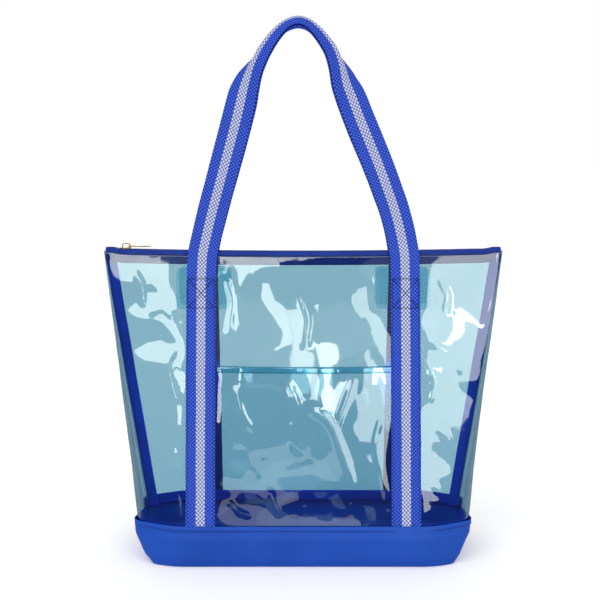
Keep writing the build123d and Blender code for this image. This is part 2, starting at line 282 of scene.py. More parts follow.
# ---- materials ----
class Paint:
    """A node material under construction."""

    def __init__(self, name):
        self.material = bpy.data.materials.new(name)
        self.material.use_nodes = True
        self.nodes = self.material.node_tree.nodes
        self.links = self.material.node_tree.links
        self.shader = self.nodes["Principled BSDF"]
        self.output = self.nodes["Material Output"]

    def add(self, kind, **settings):
        node = self.nodes.new(kind)
        for key, value in settings.items():
            setattr(node, key, value)
        return node

    def link(self, source, target):
        self.links.new(source, target)

    def set(self, **values):
        for key, value in values.items():
            self.shader.inputs[key.replace("_", " ")].default_value = value

    def place(self):
        return self.add("ShaderNodeTexCoord").outputs["Object"]

    def cloth(self):
        return self.add("ShaderNodeTexCoord").outputs["UV"]

    def split(self, vector):
        node = self.add("ShaderNodeSeparateXYZ")
        self.link(vector, node.inputs["Vector"])
        return node.outputs["X"], node.outputs["Y"], node.outputs["Z"]

    def noise(self, scale, detail):
        texture = self.add("ShaderNodeTexNoise")
        texture.inputs["Scale"].default_value = scale
        texture.inputs["Detail"].default_value = detail
        self.link(self.place(), texture.inputs["Vector"])
        return texture.outputs["Fac"]

    def math(self, operation, *values):
        node = self.add("ShaderNodeMath", operation=operation)
        for slot, value in zip(node.inputs, values):
            if isinstance(value, (int, float)):
                slot.default_value = value
            else:
                self.link(value, slot)
        return node.outputs["Value"]

    def ramp(self, factor, stops):
        node = self.add("ShaderNodeValToRGB")
        elements = node.color_ramp.elements
        while len(elements) < len(stops):
            elements.new(0.5)
        for element, (position, colour) in zip(elements, stops):
            element.position = position
            element.color = (*colour, 1)
        self.link(factor, node.inputs["Fac"])
        return node.outputs["Color"]

    def mix(self, factor, first, second):
        node = self.add("ShaderNodeMix", data_type="RGBA")
        sockets = [s for s in node.inputs if s.enabled]
        for slot, value in zip(sockets, (factor, first, second)):
            if isinstance(value, (int, float)):
                slot.default_value = value
            elif isinstance(value, tuple):
                slot.default_value = (*value, 1)
            else:
                self.link(value, slot)
        return [s for s in node.outputs if s.enabled][0]

    def bump(self, height, strength, distance):
        node = self.add("ShaderNodeBump")
        node.inputs["Strength"].default_value = strength
        node.inputs["Distance"].default_value = distance
        self.link(height, node.inputs["Height"])
        self.link(node.outputs["Normal"], self.shader.inputs["Normal"])


def weave(paint, pitch):
    """Height of a plain weave, its threads over and under at a pitch in metres."""
    x, y, z = paint.split(paint.place())
    around = paint.math("ADD", x, y)
    waves = [paint.math("SINE", paint.math("MULTIPLY", way, 2 * math.pi / pitch)) for way in (around, z)]
    return paint.math("MULTIPLY", *waves)


def lattice(paint, u, v, pitch_u, pitch_v):
    """Height of staggered raised threads, 0 to 1."""
    across = paint.math("MULTIPLY", u, math.pi / pitch_u)
    along = paint.math("MULTIPLY", v, math.pi / pitch_v)
    one = paint.math("SINE", paint.math("ADD", across, along))
    other = paint.math("SINE", paint.math("SUBTRACT", along, across))
    return paint.math("ABSOLUTE", paint.math("MULTIPLY", one, other))


def film_material(name, tint, mirror=0.055):
    """Clear tinted film, with a hard gloss that grows at grazing angles."""
    paint = Paint(name)
    paint.set(Metallic=1.0)
    paint.link(paint.ramp(paint.noise(9, 2), [(0.3, (0.90, 0.92, 0.92)), (0.75, (0.97, 0.97, 0.96))]),
               paint.shader.inputs["Base Color"])
    paint.link(paint.ramp(paint.noise(40, 3), [(0.35, (0.015,) * 3), (0.8, (0.06,) * 3)]),
               paint.shader.inputs["Roughness"])
    paint.bump(paint.noise(30, 2), 0.10, 2 * MM)
    clear = paint.add("ShaderNodeBsdfTransparent")
    clear.inputs["Color"].default_value = (*tint, 1)
    rim = paint.add("ShaderNodeFresnel")
    rim.inputs["IOR"].default_value = 1.25
    cover = paint.math("ADD", paint.math("MULTIPLY", rim.outputs["Fac"], 0.6), mirror)
    mixed = paint.add("ShaderNodeMixShader")
    paint.link(cover, mixed.inputs["Fac"])
    paint.link(clear.outputs["BSDF"], mixed.inputs[1])
    paint.link(paint.shader.outputs["BSDF"], mixed.inputs[2])
    paint.link(mixed.outputs["Shader"], paint.output.inputs["Surface"])
    return paint.material


def fabric_material(name, dark, light, roughness, pitch, depth):
    """Woven cloth, its threads at the given pitch, with worn colour variation."""
    paint = Paint(name)
    paint.link(paint.ramp(paint.noise(22, 4), [(0.3, dark), (0.7, light)]), paint.shader.inputs["Base Color"])
    paint.set(Roughness=roughness, Specular_IOR_Level=0.2)
    paint.bump(weave(paint, pitch), 0.35, depth)
    return paint.material


STRIPE_WIDTH = 10.8 * MM


def webbing_material(name):
    """Royal-blue webbing, with a paler stripe of coarser weave down its middle."""
    paint = Paint(name)
    u, v, _ = paint.split(paint.cloth())
    stripe = paint.math("LESS_THAN", paint.math("ABSOLUTE", u), STRIPE_WIDTH / 2)
    plain = lattice(paint, u, v, 4.6 * MM, 4.4 * MM)
    chevrons = lattice(paint, u, v, 4.2 * MM, 4.8 * MM)
    # colour follows the height of the raised threads and is much darker in the hollows between them: painted
    # shade in the weave, both in the blue and in the pale stripe
    blue = paint.ramp(plain, [(0.02, (0.001, 0.008, 0.14)), (0.85, (0.055, 0.150, 0.90))])
    blue = paint.mix(paint.math("MULTIPLY", paint.noise(35, 4), 0.2), blue, (0.014, 0.060, 0.58))
    pale = paint.ramp(chevrons, [(0.02, (0.05, 0.07, 0.30)), (0.75, (0.66, 0.70, 0.88))])
    paint.link(paint.mix(stripe, blue, pale), paint.shader.inputs["Base Color"])
    height = paint.add("ShaderNodeMix", data_type="FLOAT")
    for slot, value in zip([s for s in height.inputs if s.enabled], (stripe, plain, chevrons)):
        paint.link(value, slot)
    paint.set(Roughness=0.6, Specular_IOR_Level=0.15)
    paint.bump([s for s in height.outputs if s.enabled][0], 0.8, 0.6 * MM)
    return paint.material


def metal_material(name):
    """Aged brass, unevenly darkened."""
    paint = Paint(name)
    paint.link(paint.ramp(paint.noise(260, 4), [(0.3, (0.20, 0.13, 0.06)), (0.65, (0.55, 0.42, 0.24))]),
               paint.shader.inputs["Base Color"])
    paint.link(paint.ramp(paint.noise(400, 3), [(0.3, (0.22,) * 3), (0.8, (0.42,) * 3)]),
               paint.shader.inputs["Roughness"])
    paint.set(Metallic=1.0)
    paint.bump(paint.noise(700, 2), 0.15, 0.2 * MM)
    return paint.material


def thread_material(name, colour):
    """Twisted sewing thread."""
    paint = Paint(name)
    twist = paint.add("ShaderNodeTexWave", wave_type="BANDS", bands_direction="DIAGONAL")
    twist.inputs["Scale"].default_value = 1400
    paint.link(paint.place(), twist.inputs["Vector"])
    # darker where the twist bands dip in the bump: painted shade in the grooves of the twist
    paint.link(paint.ramp(twist.outputs["Fac"], [(0.2, tuple(c * 0.5 for c in colour)), (0.8, colour)]),
               paint.shader.inputs["Base Color"])
    paint.set(Roughness=0.6, Specular_IOR_Level=0.3)
    paint.bump(twist.outputs["Fac"], 0.4, 0.1 * MM)
    return paint.material


def coated_material(name):
    """Smooth coated royal-blue cloth: a fine weave under a soft gloss."""
    paint = Paint(name)
    paint.link(paint.ramp(paint.noise(12, 4), [(0.3, (0.003, 0.060, 0.40)), (0.7, (0.007, 0.075, 0.47))]),
               paint.shader.inputs["Base Color"])
    paint.link(paint.ramp(paint.noise(45, 3), [(0.3, (0.42,) * 3), (0.75, (0.55,) * 3)]),
               paint.shader.inputs["Roughness"])
    paint.set(Specular_IOR_Level=0.2)
    paint.bump(weave(paint, 0.9 * MM), 0.25, 0.12 * MM)
    return paint.material


FILM = film_material("tinted_film", (0.72, 0.85, 0.895))
POCKET_FILM = film_material("pocket_film", (0.80, 0.91, 0.955))
PATCH_FILM = film_material("patch_film", (0.76, 0.93, 0.97), 0.03)
BASE = coated_material("coated_base")
TAPE = fabric_material("binding_tape", (0.002, 0.026, 0.25), (0.005, 0.040, 0.33), 0.6, 0.8 * MM, 0.3 * MM)
# a brighter copy of the binding tape: painted light that lifts the shade the side and base seam tapes lie in
# inside the bag
TAPE_PAINTED_LIGHTER = fabric_material("tape_painted_lighter", (0.003, 0.045, 0.5), (0.006, 0.062, 0.62), 0.6, 0.8 * MM, 0.3 * MM)
WEBBING = webbing_material("webbing")
BRASS = metal_material("antique_brass")
THREAD = thread_material("blue_thread", (0.004, 0.010, 0.09))
# a pale copy of the dark blue thread for the rim stitches: painted highlight that stands in for glints on
# them
THREAD_PAINTED_GLINT = thread_material("thread_painted_glint", (0.60, 0.70, 0.95))
COIL = fabric_material("nylon_coil", (0.006, 0.02, 0.2), (0.01, 0.035, 0.28), 0.4, 0.6 * MM, 0.1 * MM)


def paint_piece(obj, material, body, slot_name, *nodes):
    """Material, body and CAD nodes of a finished piece; the finish slot name is not used."""
    obj.data.materials.clear()
    obj.data.materials.append(material)
    if body:
        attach(obj, body)
    if nodes:
        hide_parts(*nodes)
    return obj


# ---- film: uneven, buckled, then creased ----
def rough(points, scale, seed):
    """Smooth noise at each point, about -1 to 1."""
    offset = Vector((seed * 3.7, seed * 1.9, seed * 5.3))
    return np.array([noise.noise(Vector(p) * scale + offset) for p in points])


def normals_of(obj):
    values = np.zeros(len(obj.data.vertices) * 3)
    obj.data.vertices.foreach_get("normal", values)
    return values.reshape(-1, 3)


def ripples(points, seed):
    """Standing unevenness of stiff film: long upright folds in the middle, broader
    hollows at the sides, and a crumpled corner above the base."""
    middle = 1 - smoothstep((np.abs(points[:, 0]) - 100 * MM) / (40 * MM))
    calm = 0.55 + 0.45 * smoothstep((points[:, 2] - 90 * MM) / (90 * MM))
    tall = rough(points * (24, 0, 7), 1, seed) * (0.35 + 0.35 * middle) * calm * MM
    broad = rough(points * (9, 0, 7), 1, seed + 1) * (1.7 - 0.6 * middle) * MM
    slanted = np.stack([points[:, 0] + 0.45 * points[:, 2], points[:, 1], points[:, 2] * 0.5], axis=1)
    fine = rough(slanted, 52, seed + 2) * 0.18 * calm * MM
    low = 1 - smoothstep((points[:, 2] - 76 * MM) / (20 * MM))
    crumple = rough(points, 95, seed + 3) * 0.35 * MM * low
    return tall + broad + fine + crumple


def crease(points, path, width, height):
    """A ridge of the given height along a path of (x, z) points, fading at its ends.
    A width over 5 mm gives it two flat sides."""
    samples = 60
    path = np.array(path) * MM
    runs = travelled(path)
    line = even_line(path, runs, np.linspace(0, runs[-1], samples))
    kernel = np.ones(9) / 9
    padded = np.vstack([line[:1]] * 4 + [line] + [line[-1:]] * 4)
    line = np.stack([np.convolve(padded[:, c], kernel, "valid") for c in range(2)], axis=1)
    away = np.linalg.norm(points[:, None, (0, 2)] - line[None], axis=2)
    nearest = away.argmin(axis=1)
    distance = away[np.arange(len(points)), nearest]
    ends = np.minimum(nearest, samples - 1 - nearest) / (samples - 1)
    shape = np.exp(-(distance / (width * MM)) ** 2)
    if width > 5:
        shape = np.clip(1 - distance / (width * MM), 0, 1)
    return height * MM * shape * smoothstep(ends * 5)


def buckle(obj, shape, loose, growth, steps, cap, keep, seed):
    """Lets a sheet that is a little too large for its held edges buckle. loose is 0 where
    the sheet is held and 1 where it moves freely by up to the cap."""
    rest = get_points(obj)
    outward = normals_of(obj)
    start = rest + outward * (ripples(rest, seed) * loose)[:, None]
    set_points(obj, start)
    pins = obj.vertex_groups.new(name="held")
    for number, free in enumerate(loose):
        pins.add([number], 1 - float(free), "REPLACE")
    cloth = obj.modifiers.new("cloth", "CLOTH")
    settings = {"quality": 3, "mass": 0.2, "tension_stiffness": 30, "compression_stiffness": 30,
                "shear_stiffness": 20, "bending_stiffness": 2.0, "vertex_group_mass": "held",
                "pin_stiffness": 1, "shrink_min": -growth}
    for setting, value in settings.items():
        setattr(cloth.settings, setting, value)
    cloth.settings.effector_weights.gravity = 0
    cloth.collision_settings.use_collision = False
    cloth.collision_settings.use_self_collision = False
    cloth.point_cache.frame_start = 1
    cloth.point_cache.frame_end = steps
    for step in range(1, steps + 1):
        bpy.context.scene.frame_set(step)
    apply_modifiers(obj)
    bpy.context.scene.frame_set(1)
    # only part of the buckling is kept, evened out, so that the film stays broad and stiff
    moved = (get_points(obj) - start).reshape(*shape, 3)
    for axis in (0, 1, 0, 1):
        moved = (np.roll(moved, 1, axis) + 2 * moved + np.roll(moved, -1, axis)) / 4
    moved = moved.reshape(-1, 3) * keep
    length = np.linalg.norm(moved, axis=1, keepdims=True)
    moved *= np.minimum(1, cap / np.maximum(length, 1e-9))
    set_points(obj, start + moved * np.minimum(1, loose * 3)[:, None])
    return obj


def add_creases(obj, creases):
    """Raises listed creases on a finished sheet."""
    points = get_points(obj)
    outward = normals_of(obj)
    for path, width, height in creases:
        points += outward * crease(points, path, width, height)[:, None]
    set_points(obj, points)


# Creases: path of (x, height), half width and height, all in mm.
FRONT_CREASES = [
    ([(-205, 352), (-192, 330), (-190, 300)], 3.0, 0.6),
    ([(-186, 296), (-168, 303), (-150, 290)], 3.5, 0.6),
    ([(-150, 258), (-163, 238), (-152, 200), (-143, 190)], 3.5, 0.7),
    ([(-168, 150), (-155, 138), (-146, 118)], 2.4, 0.5),
    ([(-92, 342), (-84, 310), (-88, 268)], 3.5, 0.7),
    ([(-5, 330), (8, 290), (2, 250)], 4.0, 0.8),
    ([(160, 340), (172, 318), (168, 290)], 3.5, 0.7),
    ([(150, 262), (176, 248), (190, 222)], 3.5, 0.8),
    ([(146, 236), (158, 218), (150, 190)], 3.0, 0.8),
    ([(152, 168), (172, 150), (178, 120)], 3.2, 0.7),
    ([(150, 100), (166, 84), (172, 66)], 2.6, 0.6),
    ([(-170, 88), (-158, 74), (-150, 62)], 2.4, 0.6),
]
BACK_CREASES = [
    ([(-120, 300), (-60, 240), (-40, 180)], 5.0, 0.8),
    ([(90, 280), (110, 220), (80, 160)], 5.0, 0.8),
    ([(-10, 200), (20, 140), (10, 90)], 4.0, 0.7),
]
POCKET_CREASES = [
    ([(0, 180), (18, 184), (34, 168), (50, 126), (66, 72)], 6.5, 1.8),
    ([(-82, 214), (-72, 180), (-56, 156)], 4.0, 0.7),
    ([(-20, 224), (-6, 190), (-14, 150), (2, 128)], 4.5, 0.8),
    ([(62, 228), (48, 190), (34, 156)], 4.0, 0.7),
    ([(96, 190), (84, 150), (92, 110), (100, 74)], 3.4, 0.7),
    ([(-40, 96), (-34, 74), (-26, 60)], 2.6, 0.6),
    ([(-88, 80), (-76, 66), (-60, 60)], 2.4, 0.6),
]


def film_panel(front, seed):
    """One film panel from inside the base to the rim, held by its seams and straps."""
    rows, columns = 60, 90
    heights = np.linspace(film_low.z, film_high.z, rows)
    shares = np.linspace(0.001, 0.999, columns)
    points = shell(heights, shares, FILM_DEPTH, front)
    panel = grid_mesh("front_film" if front else "back_film", points, flip=not front)
    flat = get_points(panel)
    up = np.repeat(heights, columns)
    across = np.abs(flat[:, 0])
    from_edges = np.minimum(up - base_high.z, film_high.z - 8 * MM - up) / (26 * MM)
    from_sides = np.minimum(np.tile(shares, rows), 1 - np.tile(shares, rows)) / 0.05
    from_strap = (np.abs(across - STRAP_X) - STRAP_WIDTH / 2) / (9 * MM)
    from_strap = np.where(up > FOLD_Z + 8 * MM, 1, from_strap)
    near_patch = (across > patch_low.x - 3 * MM) & (across < patch_high.x + 3 * MM)
    near_patch &= (up > patch_low.z - 3 * MM) & (up < patch_high.z + 3 * MM)
    loose = smoothstep(np.minimum(np.minimum(from_edges, from_sides), from_strap))
    loose[near_patch] = 0
    buckle(panel, (rows, columns), loose, 0.006, 14, 6 * MM, 0.3, seed)
    subdivide(panel)
    add_creases(panel, FRONT_CREASES if front else BACK_CREASES)
    thicken(panel, FILM_THICKNESS)
    return panel


front_film = film_panel(True, seed=3)
paint_piece(front_film, FILM, "bag", "clear_film", "front_film_panel")
back_film = film_panel(False, seed=11)
paint_piece(back_film, FILM, "bag", "clear_film", "back_film_panel")


# ---- pocket: one sheet between the straps, its mouth turned over ----
POCKET_EDGE = STRAP_X + STRAP_WIDTH / 2 - 2 * MM    # its sides are sewn under the straps
POCKET_FREE = STRAP_X - STRAP_WIDTH / 2


def pocket_sheet():
    """The pocket's sheet, bulging a little towards its mouth, and its bare outer skin."""
    rows, columns = 48, 64
    heights = np.linspace(pocket_low.z, pocket_high.z, rows)
    across = np.linspace(-POCKET_EDGE, POCKET_EDGE, columns)
    points = np.zeros((rows, columns, 3))
    for row, z in enumerate(heights):
        up = (z - pocket_low.z) / (pocket_high.z - pocket_low.z)
        inside = smoothstep((POCKET_FREE - np.abs(across)) / (34 * MM))
        bulge = 3.6 * MM * inside * up ** 1.2
        skin = np.array([film_y(x, z) for x in across])
        points[row] = np.stack([across, skin - 0.5 * MM - bulge, np.full(columns, z)], axis=1)
    sheet = grid_mesh("pocket_sheet", points)
    flat = get_points(sheet)
    up = (flat[:, 2] - base_high.z) / (30 * MM)
    side = (POCKET_FREE - np.abs(flat[:, 0])) / (14 * MM)
    at_mouth = smoothstep((flat[:, 2] - pocket_high.z + 20 * MM) / (20 * MM))
    loose = smoothstep(np.minimum(up, side)) * (1 - 0.75 * at_mouth)
    buckle(sheet, (rows, columns), loose, 0.005, 12, 3 * MM, 0.3, 23)
    subdivide(sheet)
    add_creases(sheet, POCKET_CREASES)
    skin = get_points(sheet)
    thicken(sheet, FILM_THICKNESS)
    return sheet, skin


pocket, pocket_skin = pocket_sheet()
paint_piece(pocket, POCKET_FILM, "bag", "pocket_film", "front_pocket_film")


def pocket_surface(x, z):
    """Y of the pocket film's outer face at a place, from its nearest points."""
    away = np.hypot(pocket_skin[:, 0] - x, pocket_skin[:, 2] - z)
    near = np.argsort(away)[:4]
    weight = 1 / (away[near] + 0.2 * MM)
    return float((pocket_skin[near, 1] * weight).sum() / weight.sum())


def pocket_hem():
    """Film turned over the pocket's mouth and sewn down."""
    across = np.linspace(-POCKET_EDGE, POCKET_EDGE, 120)
    # how far down from the mouth, and how far out of the pocket's film, in mm
    turn = ((8.0, 0.55), (6.5, 0.62), (4.0, 0.7), (1.5, 0.7), (0.4, 0.55), (-0.1, 0.1), (0.2, -0.45),
            (1.0, -0.7), (4.0, -0.75), (7.6, -0.75))
    rows = []
    for down, out in turn:
        z = pocket_high.z - down * MM
        rows.append([(x, pocket_surface(x, z) - out * MM, z + 0.4 * MM) for x in across])
    hem = grid_mesh("pocket_hem", np.array(rows), flip=True)
    return thicken(hem, FILM_THICKNESS, 0)


paint_piece(pocket_hem(), PATCH_FILM, "bag", "pocket_film", "pocket_mouth_binding")

# ---- base: one boxed tray of coated cloth with a turned hem ----
def outwards_of(ring):
    """Horizontal directions away from the middle of the base, at points round it."""
    return units(ring[:, :2] / LEVELS[2, 1:3])


def base_tray():
    """Floor, rounded toe and dented walls, with a hem that stands a little proud."""
    columns = 260
    heights = np.concatenate([np.linspace(0, 12, 9), np.linspace(14, 50, 19)]) * MM
    shares = np.linspace(0, 1, columns, endpoint=False)
    rings = []
    for z in heights:
        loop = outline(z, 0)
        loop = np.vstack([loop, loop[:1]])
        ring = even_line(loop, np.linspace(0, 1, len(loop)), shares)
        rings.append(np.column_stack([ring, np.full(columns, z)]))
    rings = np.array(rings)
    for row, z in enumerate(heights):
        toe = 1 - smoothstep(z / (12 * MM))
        hem = smoothstep((z - 43 * MM) / (1.5 * MM)) * 0.5 * MM
        out = outwards_of(rings[row])
        rings[row, :, :2] += out * (hem - toe * 1.2 * MM)
        dent = rough(rings[row], 14, 31) * 1.8 * MM + rough(rings[row], 40, 33) * 0.6 * MM
        rings[row, :, :2] += out * (dent * smoothstep(z / (14 * MM)) * (1 - hem / MM))[:, None]
    floor = [rings[0] * np.array([share, share, 0]) for share in (0.05, 0.35, 0.65, 0.85, 0.95)]
    grid = np.vstack([np.array(floor), rings])
    faces = grid_faces(len(grid), columns, closed=True)
    faces.append(tuple(range(columns))[::-1])
    tray = new_mesh("base_tray", grid.reshape(-1, 3), faces)
    return thicken(tray, 0.8 * MM)


base = base_tray()
paint_piece(base, BASE, "bag", "base_fabric", "base_fabric")


# ---- tapes: side seams, base seam, zipper ----
def side_binding(side):
    """Tape folded over the seam allowance, standing inwards from the side seam."""
    low, high = base_high.z + 1 * MM, film_high.z
    frames = []
    for z in np.linspace(low, high, 110):
        width, _, _, fold, _ = (float(v) for v in level_values(z))
        x = side * (width - fold - FILM_DEPTH - 0.7 * MM)
        lift = float(rim_rise(x)) * float(near_rim(z))
        wave = 1.0 * MM * math.sin(z / (17 * MM) + side) * min(1, (high - z) / (60 * MM))
        frames.append((np.array([x, wave * 0.6, z + lift]), np.array([-side, 0, 0]), np.array([0, 1, 0])))
    profile = [(0, -0.9), (0, 0.9), (5, 1.05), (11.5, 1.1), (12.4, 0.8), (12.8, 0), (12.4, -0.8),
               (11.5, -1.1), (5, -1.05)]
    points, faces = swept(frames, np.array(profile) * MM)
    return new_mesh("side_binding_" + ("right" if side > 0 else "left"), points, faces)


for side, word in ((-1, "left"), (1, "right")):
    paint_piece(side_binding(side), TAPE_PAINTED_LIGHTER, "bag", "binding_tape", f"side_binding_{word}")


def base_seam_tape(front):
    """Tape behind the seam between the film and the base's hem."""
    heights = np.linspace(film_low.z - 1 * MM, base_high.z + 1.5 * MM, 8)
    points = shell(heights, np.linspace(0.012, 0.988, 150), 3.6 * MM, front)
    tape = grid_mesh("base_seam_tape_" + ("front" if front else "back"), points, flip=not front)
    return thicken(tape, 0.5 * MM)


for front, word in FACES:
    paint_piece(base_seam_tape(front), TAPE_PAINTED_LIGHTER, "bag", "binding_tape", f"base_binding_{word}")


def zipper_tape(front):
    """Woven tape: sewn inside the rim, then folded in over the mouth to the coil."""
    sign = -1 if front else 1
    across = np.linspace(-236 * MM, 236 * MM, 200)
    lift = rim_rise(across)
    rim_half = np.interp(np.abs(across), [0, FACE_HALF_WIDTH, 240 * MM], [7.3 * MM, 7.2 * MM, 4.6 * MM])
    low_half = rim_half + 2.88 * MM
    inner = np.minimum(2.9 * MM, rim_half * 0.9)
    rows = []
    for share in np.linspace(0, 1, 9):
        rows.append((low_half + (rim_half - low_half) * share, tape_low.z + share * 14.6 * MM))
    rows.append((rim_half - 0.25 * MM, RIM_Z - 0.75 * MM))
    rows.append((rim_half - 0.9 * MM, RIM_Z - 0.25 * MM))
    for share in (0.3, 0.6, 1.0):
        rows.append((rim_half - 0.9 * MM + (inner - rim_half + 0.9 * MM) * share, RIM_Z - 0.1 * MM))
    grid = np.array([np.stack([across, sign * depth, z + lift], axis=1) for depth, z in rows])
    tape = grid_mesh("zipper_tape_" + ("front_cloth" if front else "back_cloth"), grid, flip=not front)
    return thicken(tape, 0.5 * MM)


for front, word in FACES:
    paint_piece(zipper_tape(front), TAPE, "bag", "zipper_tape", f"zipper_tape_{word}")


def zipper_coil(front):
    """One side's nylon coil: a flattened spiral along the rim."""
    sign = -1 if front else 1
    low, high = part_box("zipper_coil_front")
    middle_z = (low.z + high.z) / 2
    pitch, wire = 1.35 * MM, 0.36 * MM
    steps = 8
    count = int((high.x - low.x) / pitch) * steps
    angle = np.arange(count) * 2 * math.pi / steps
    x = low.x + np.arange(count) * pitch / steps + (pitch / 2 if front else 0)
    x = np.minimum(x, high.x)
    line = np.stack([x, sign * (1.45 * MM - 1.05 * MM * np.cos(angle)),
                     middle_z + 0.7 * MM * np.sin(angle) + rim_rise(x)], axis=1)
    tangent = units(np.gradient(line, axis=0))
    across = units(np.cross(tangent, (1.0, 0.2, 0.1)))
    other = np.cross(tangent, across)
    ring = [(math.cos(a) * wire, math.sin(a) * wire) for a in np.arange(5) * 2 * math.pi / 5]
    points, faces = swept(zip(line, across, other), ring)
    return new_mesh("coil_" + ("front" if front else "back"), points, faces)


for front, word in FACES:
    paint_piece(zipper_coil(front), COIL, "bag", "zipper_coil", f"zipper_coil_{word}")


# ---- clear patches behind the handle ends ----
def patch(side, front):
    """Clear patch inside the film, its corners rounded."""
    low, high = patch_low, patch_high
    across = np.linspace(low.x, high.x, 24) * side
    heights = np.linspace(low.z, high.z, 18)
    sign = -1 if front else 1
    grid = np.array([[(x, film_y(x, z, front) - sign * 0.8 * MM, z) for x in across] for z in heights])
    middle = grid.mean(axis=(0, 1))
    half = np.array([(high.x - low.x) / 2, 1, (high.z - low.z) / 2])
    place = (grid - middle) / half
    reach = (np.abs(place[..., 0]) ** 10 + np.abs(place[..., 2]) ** 10) ** 0.1
    square = np.maximum(np.abs(place[..., 0]), np.abs(place[..., 2]))
    scale = np.where(square > 0, square / np.maximum(reach, 1e-9), 1)
    grid[..., 0] = middle[0] + (grid[..., 0] - middle[0]) * scale
    grid[..., 2] = middle[2] + (grid[..., 2] - middle[2]) * scale
    name = ("front" if front else "back") + "_patch_" + ("right" if side > 0 else "left")
    flip = (side > 0) != front
    return thicken(grid_mesh(name + "_film", grid, flip=flip), FILM_THICKNESS)


for front, word in FACES:
    for side, hand in ((-1, "left"), (1, "right")):
        paint_piece(patch(side, front), PATCH_FILM, "bag", "patch_film", f"{word}_patch_{hand}")

# ---- handles: one length of webbing each ----
# Stations of the free loop: x, height, twist from facing out to edge-on, in mm and degrees.
LOOP_STATIONS = [
    (-121.3, 341, 0), (-120, 366, 0), (-114, 392, 0), (-107, 420, 0), (-98, 453, 0), (-89, 486, 0),
    (-80, 519, 2), (-73, 547, 10), (-68.5, 566, 28), (-62.5, 586, 50), (-53, 606, 66), (-38.5, 625, 80),
    (-24, 638, 87), (-7, 644, 90), (8, 640, 88), (23.5, 627, 82), (39.5, 607, 68), (46.5, 587, 50),
    (50, 566, 28), (58, 547, 10), (69, 519, 2), (83, 486, 0), (96, 453, 0), (108, 420, 0),
    (115.5, 392, 0), (120.5, 366, 0), (121.3, 341, 0)]
# The grip is folded along its middle: height and angle of each half, in mm and degrees.
GRIP_FOLD = [(341, 0), (556, 0), (575, 10), (590, 24), (608, 36), (625, 38), (650, 34)]
# How far the loop leans over the mouth: height and depth from the middle of the bag, in mm.
LEAN_LINE = [(341, -15.4), (371, -10.4), (420, -6.2), (486, -4.0), (543, -3.0), (650, -2.2)]
NESTING = 2.2 * MM                      # of the back loop inside the front one


def strap_line(front):
    """Middle, across direction and travelled length of a whole handle, leg to leg."""
    sign = -1 if front else 1

    def leg_point(x, z, lift):
        return (x, film_y(x, z, front) + sign * lift * MM, z, 0.0)

    leg_heights = np.linspace(leg_low.z, FOLD_Z - 2 * MM, 60)
    left_leg = [leg_point(-STRAP_X, z, 1.35 if z < base_high.z + 30 * MM else 1.25) for z in leg_heights]
    right_leg = [leg_point(STRAP_X, z, 1.3) for z in leg_heights[::-1]]
    loop = []
    heights, leans = zip(*LEAN_LINE)
    for x, z, twist in LOOP_STATIONS:
        y = -sign * float(np.interp(z, heights, leans))
        loop.append((x * MM, y * MM, z * MM, twist))
    rough_line = np.array(left_leg + loop[1:-1] + right_leg)
    runs = travelled(rough_line[:, :3])
    at = np.linspace(0, runs[-1], int(runs[-1] / (2.5 * MM)))
    even = even_line(rough_line, runs, at)
    # soften the corners between stations
    kernel = np.exp(-0.5 * (np.arange(-9, 10) / 2.4) ** 2)
    kernel /= kernel.sum()
    for column in range(4):
        padded = np.concatenate([2 * even[0, column] - even[9:0:-1, column], even[:, column],
                                 2 * even[-1, column] - even[-2:-11:-1, column]])
        even[:, column] = np.convolve(padded, kernel, "valid")
    return even, at


def strap_frames(front):
    """Origin, across direction and outward normal at each point of a handle, and the
    length travelled. The back loop is drawn in so that it nests in the front one."""
    even, at = strap_line(front)
    along = units(np.gradient(even[:, :3], axis=0))
    frames = []
    for (x, y, z, twist), ahead in zip(even, along):
        outwards = unit((-ahead[2], 0, ahead[0]))
        turn = math.radians(twist)
        across = outwards * math.cos(turn) + np.array([0, 1, 0]) * math.sin(turn)
        across = unit(across - ahead * across.dot(ahead))
        normal = np.cross(ahead, across)
        origin = np.array([x, y, z])
        if not front:
            share = float(smoothstep((z - RIM_Z) / (170 * MM)))
            origin = origin - outwards * NESTING * share
        frames.append((origin, across, normal))
    return frames, at


def folded(x, n, angle):
    """A point of the webbing's cross-section, its two halves folded back by an angle."""
    bend = 3 * MM
    turn = min(abs(x) / bend, angle)
    rest = abs(x) - turn * bend
    across = (bend + n) * math.sin(turn) + rest * math.cos(angle)
    out = (bend + n) * math.cos(turn) - bend - rest * math.sin(angle)
    return math.copysign(across, x), out


def handle(front):
    """The whole strap as one mesh, leg to leg, with its cloth map across and along."""
    frames, at = strap_frames(front)
    columns = 22
    half, thick = STRAP_WIDTH / 2, STRAP_THICKNESS / 2
    across = np.linspace(-half + 0.5 * MM, half - 0.5 * MM, columns)
    profile = [(x, thick) for x in across] + [(half, 0)] + [(x, -thick) for x in across[::-1]] + [(-half, 0)]
    heights, angles = zip(*GRIP_FOLD)
    points = []
    for (origin, direction, normal), length in zip(frames, at):
        wander = 0.35 * MM * noise.noise(Vector((length * 30, 4.0 if front else 9.0, 0)))
        angle = math.radians(float(np.interp(origin[2] / MM, heights, angles)))
        for x, n in profile:
            across_at, out = folded(x, n, angle)
            points.append(origin + direction * (across_at + wander) + normal * out)
    count = len(profile)
    faces = grid_faces(len(frames), count, closed=True)
    faces += [tuple(range(count))[::-1], tuple(range(len(points) - count, len(points)))]
    cloth_map = np.stack([np.tile([p[0] for p in profile], len(frames)), np.repeat(at, count)], axis=1)
    return new_mesh("handle_" + ("front" if front else "back"), points, faces, cloth_map)


for front, word in FACES:
    strap = handle(front)
    paint_piece(strap, WEBBING, None, "webbing", f"{word}_handle_loop", f"{word}_handle_left_leg",
                f"{word}_handle_right_leg")
    y = film_y(STRAP_X, FOLD_Z, front)
    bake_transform(strap)


# ---- sewing thread ----
FILM_FACING = np.array((0, 0.98, 0.18))  # away from the sloping film, for the back face


